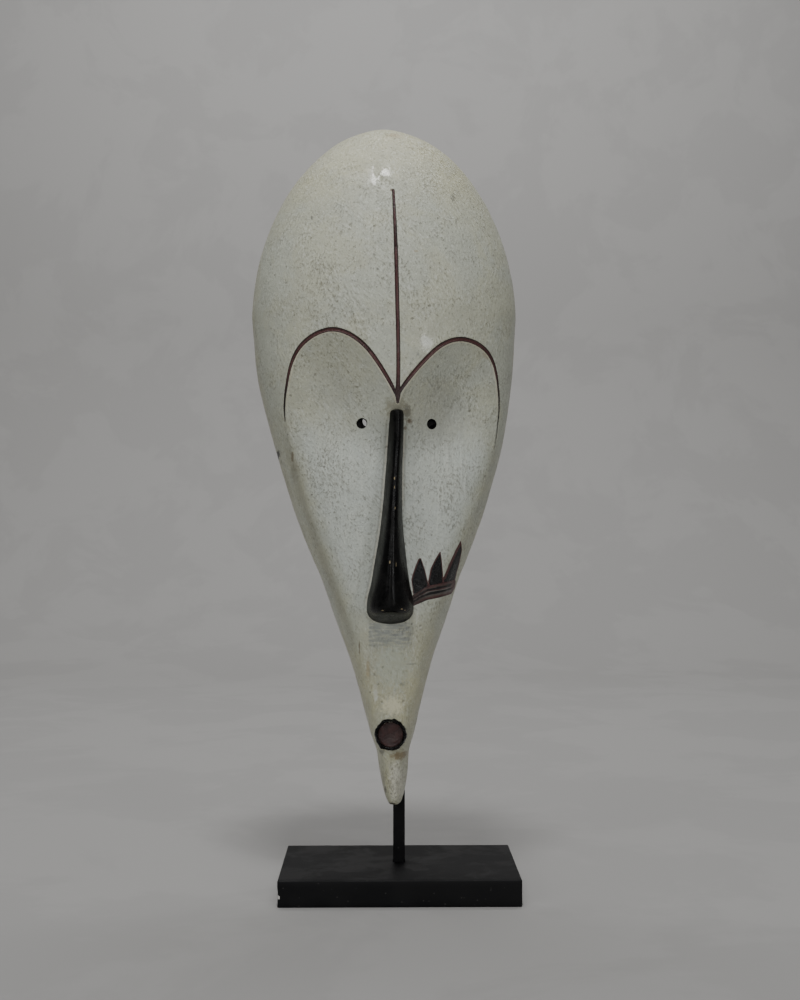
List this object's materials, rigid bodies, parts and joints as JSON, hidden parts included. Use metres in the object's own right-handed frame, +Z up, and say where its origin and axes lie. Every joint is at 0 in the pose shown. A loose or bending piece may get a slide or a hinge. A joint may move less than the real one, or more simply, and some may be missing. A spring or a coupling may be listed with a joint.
{
  "type": "fang mask on a stand",
  "caption": "Tall hollow carved mask with a heart-shaped face, long narrow nose, small round mouth and pierced eyes, held by a square bar on a flat rectangular board.",
  "frame": {"origin": "centre of the board's underside", "axes": "+Z up along the bar and the mask's height, -Y towards the viewer in front of the face, +X to the viewer's right"},
  "size_m": [0.2253, 0.1659, 0.6485],
  "materials": {
    "mask": "carved wood under satin off-white clay paint, with a black lacquered nose and mouth rim and dark maroon lines",
    "rod": "satin black paint on square steel bar",
    "base": "satin black paint, chipped at one front corner"
  },
  "bodies": {
    "root": {"mask": "mask", "rod": "rod", "base": "base"}
  },
  "joints": []
}
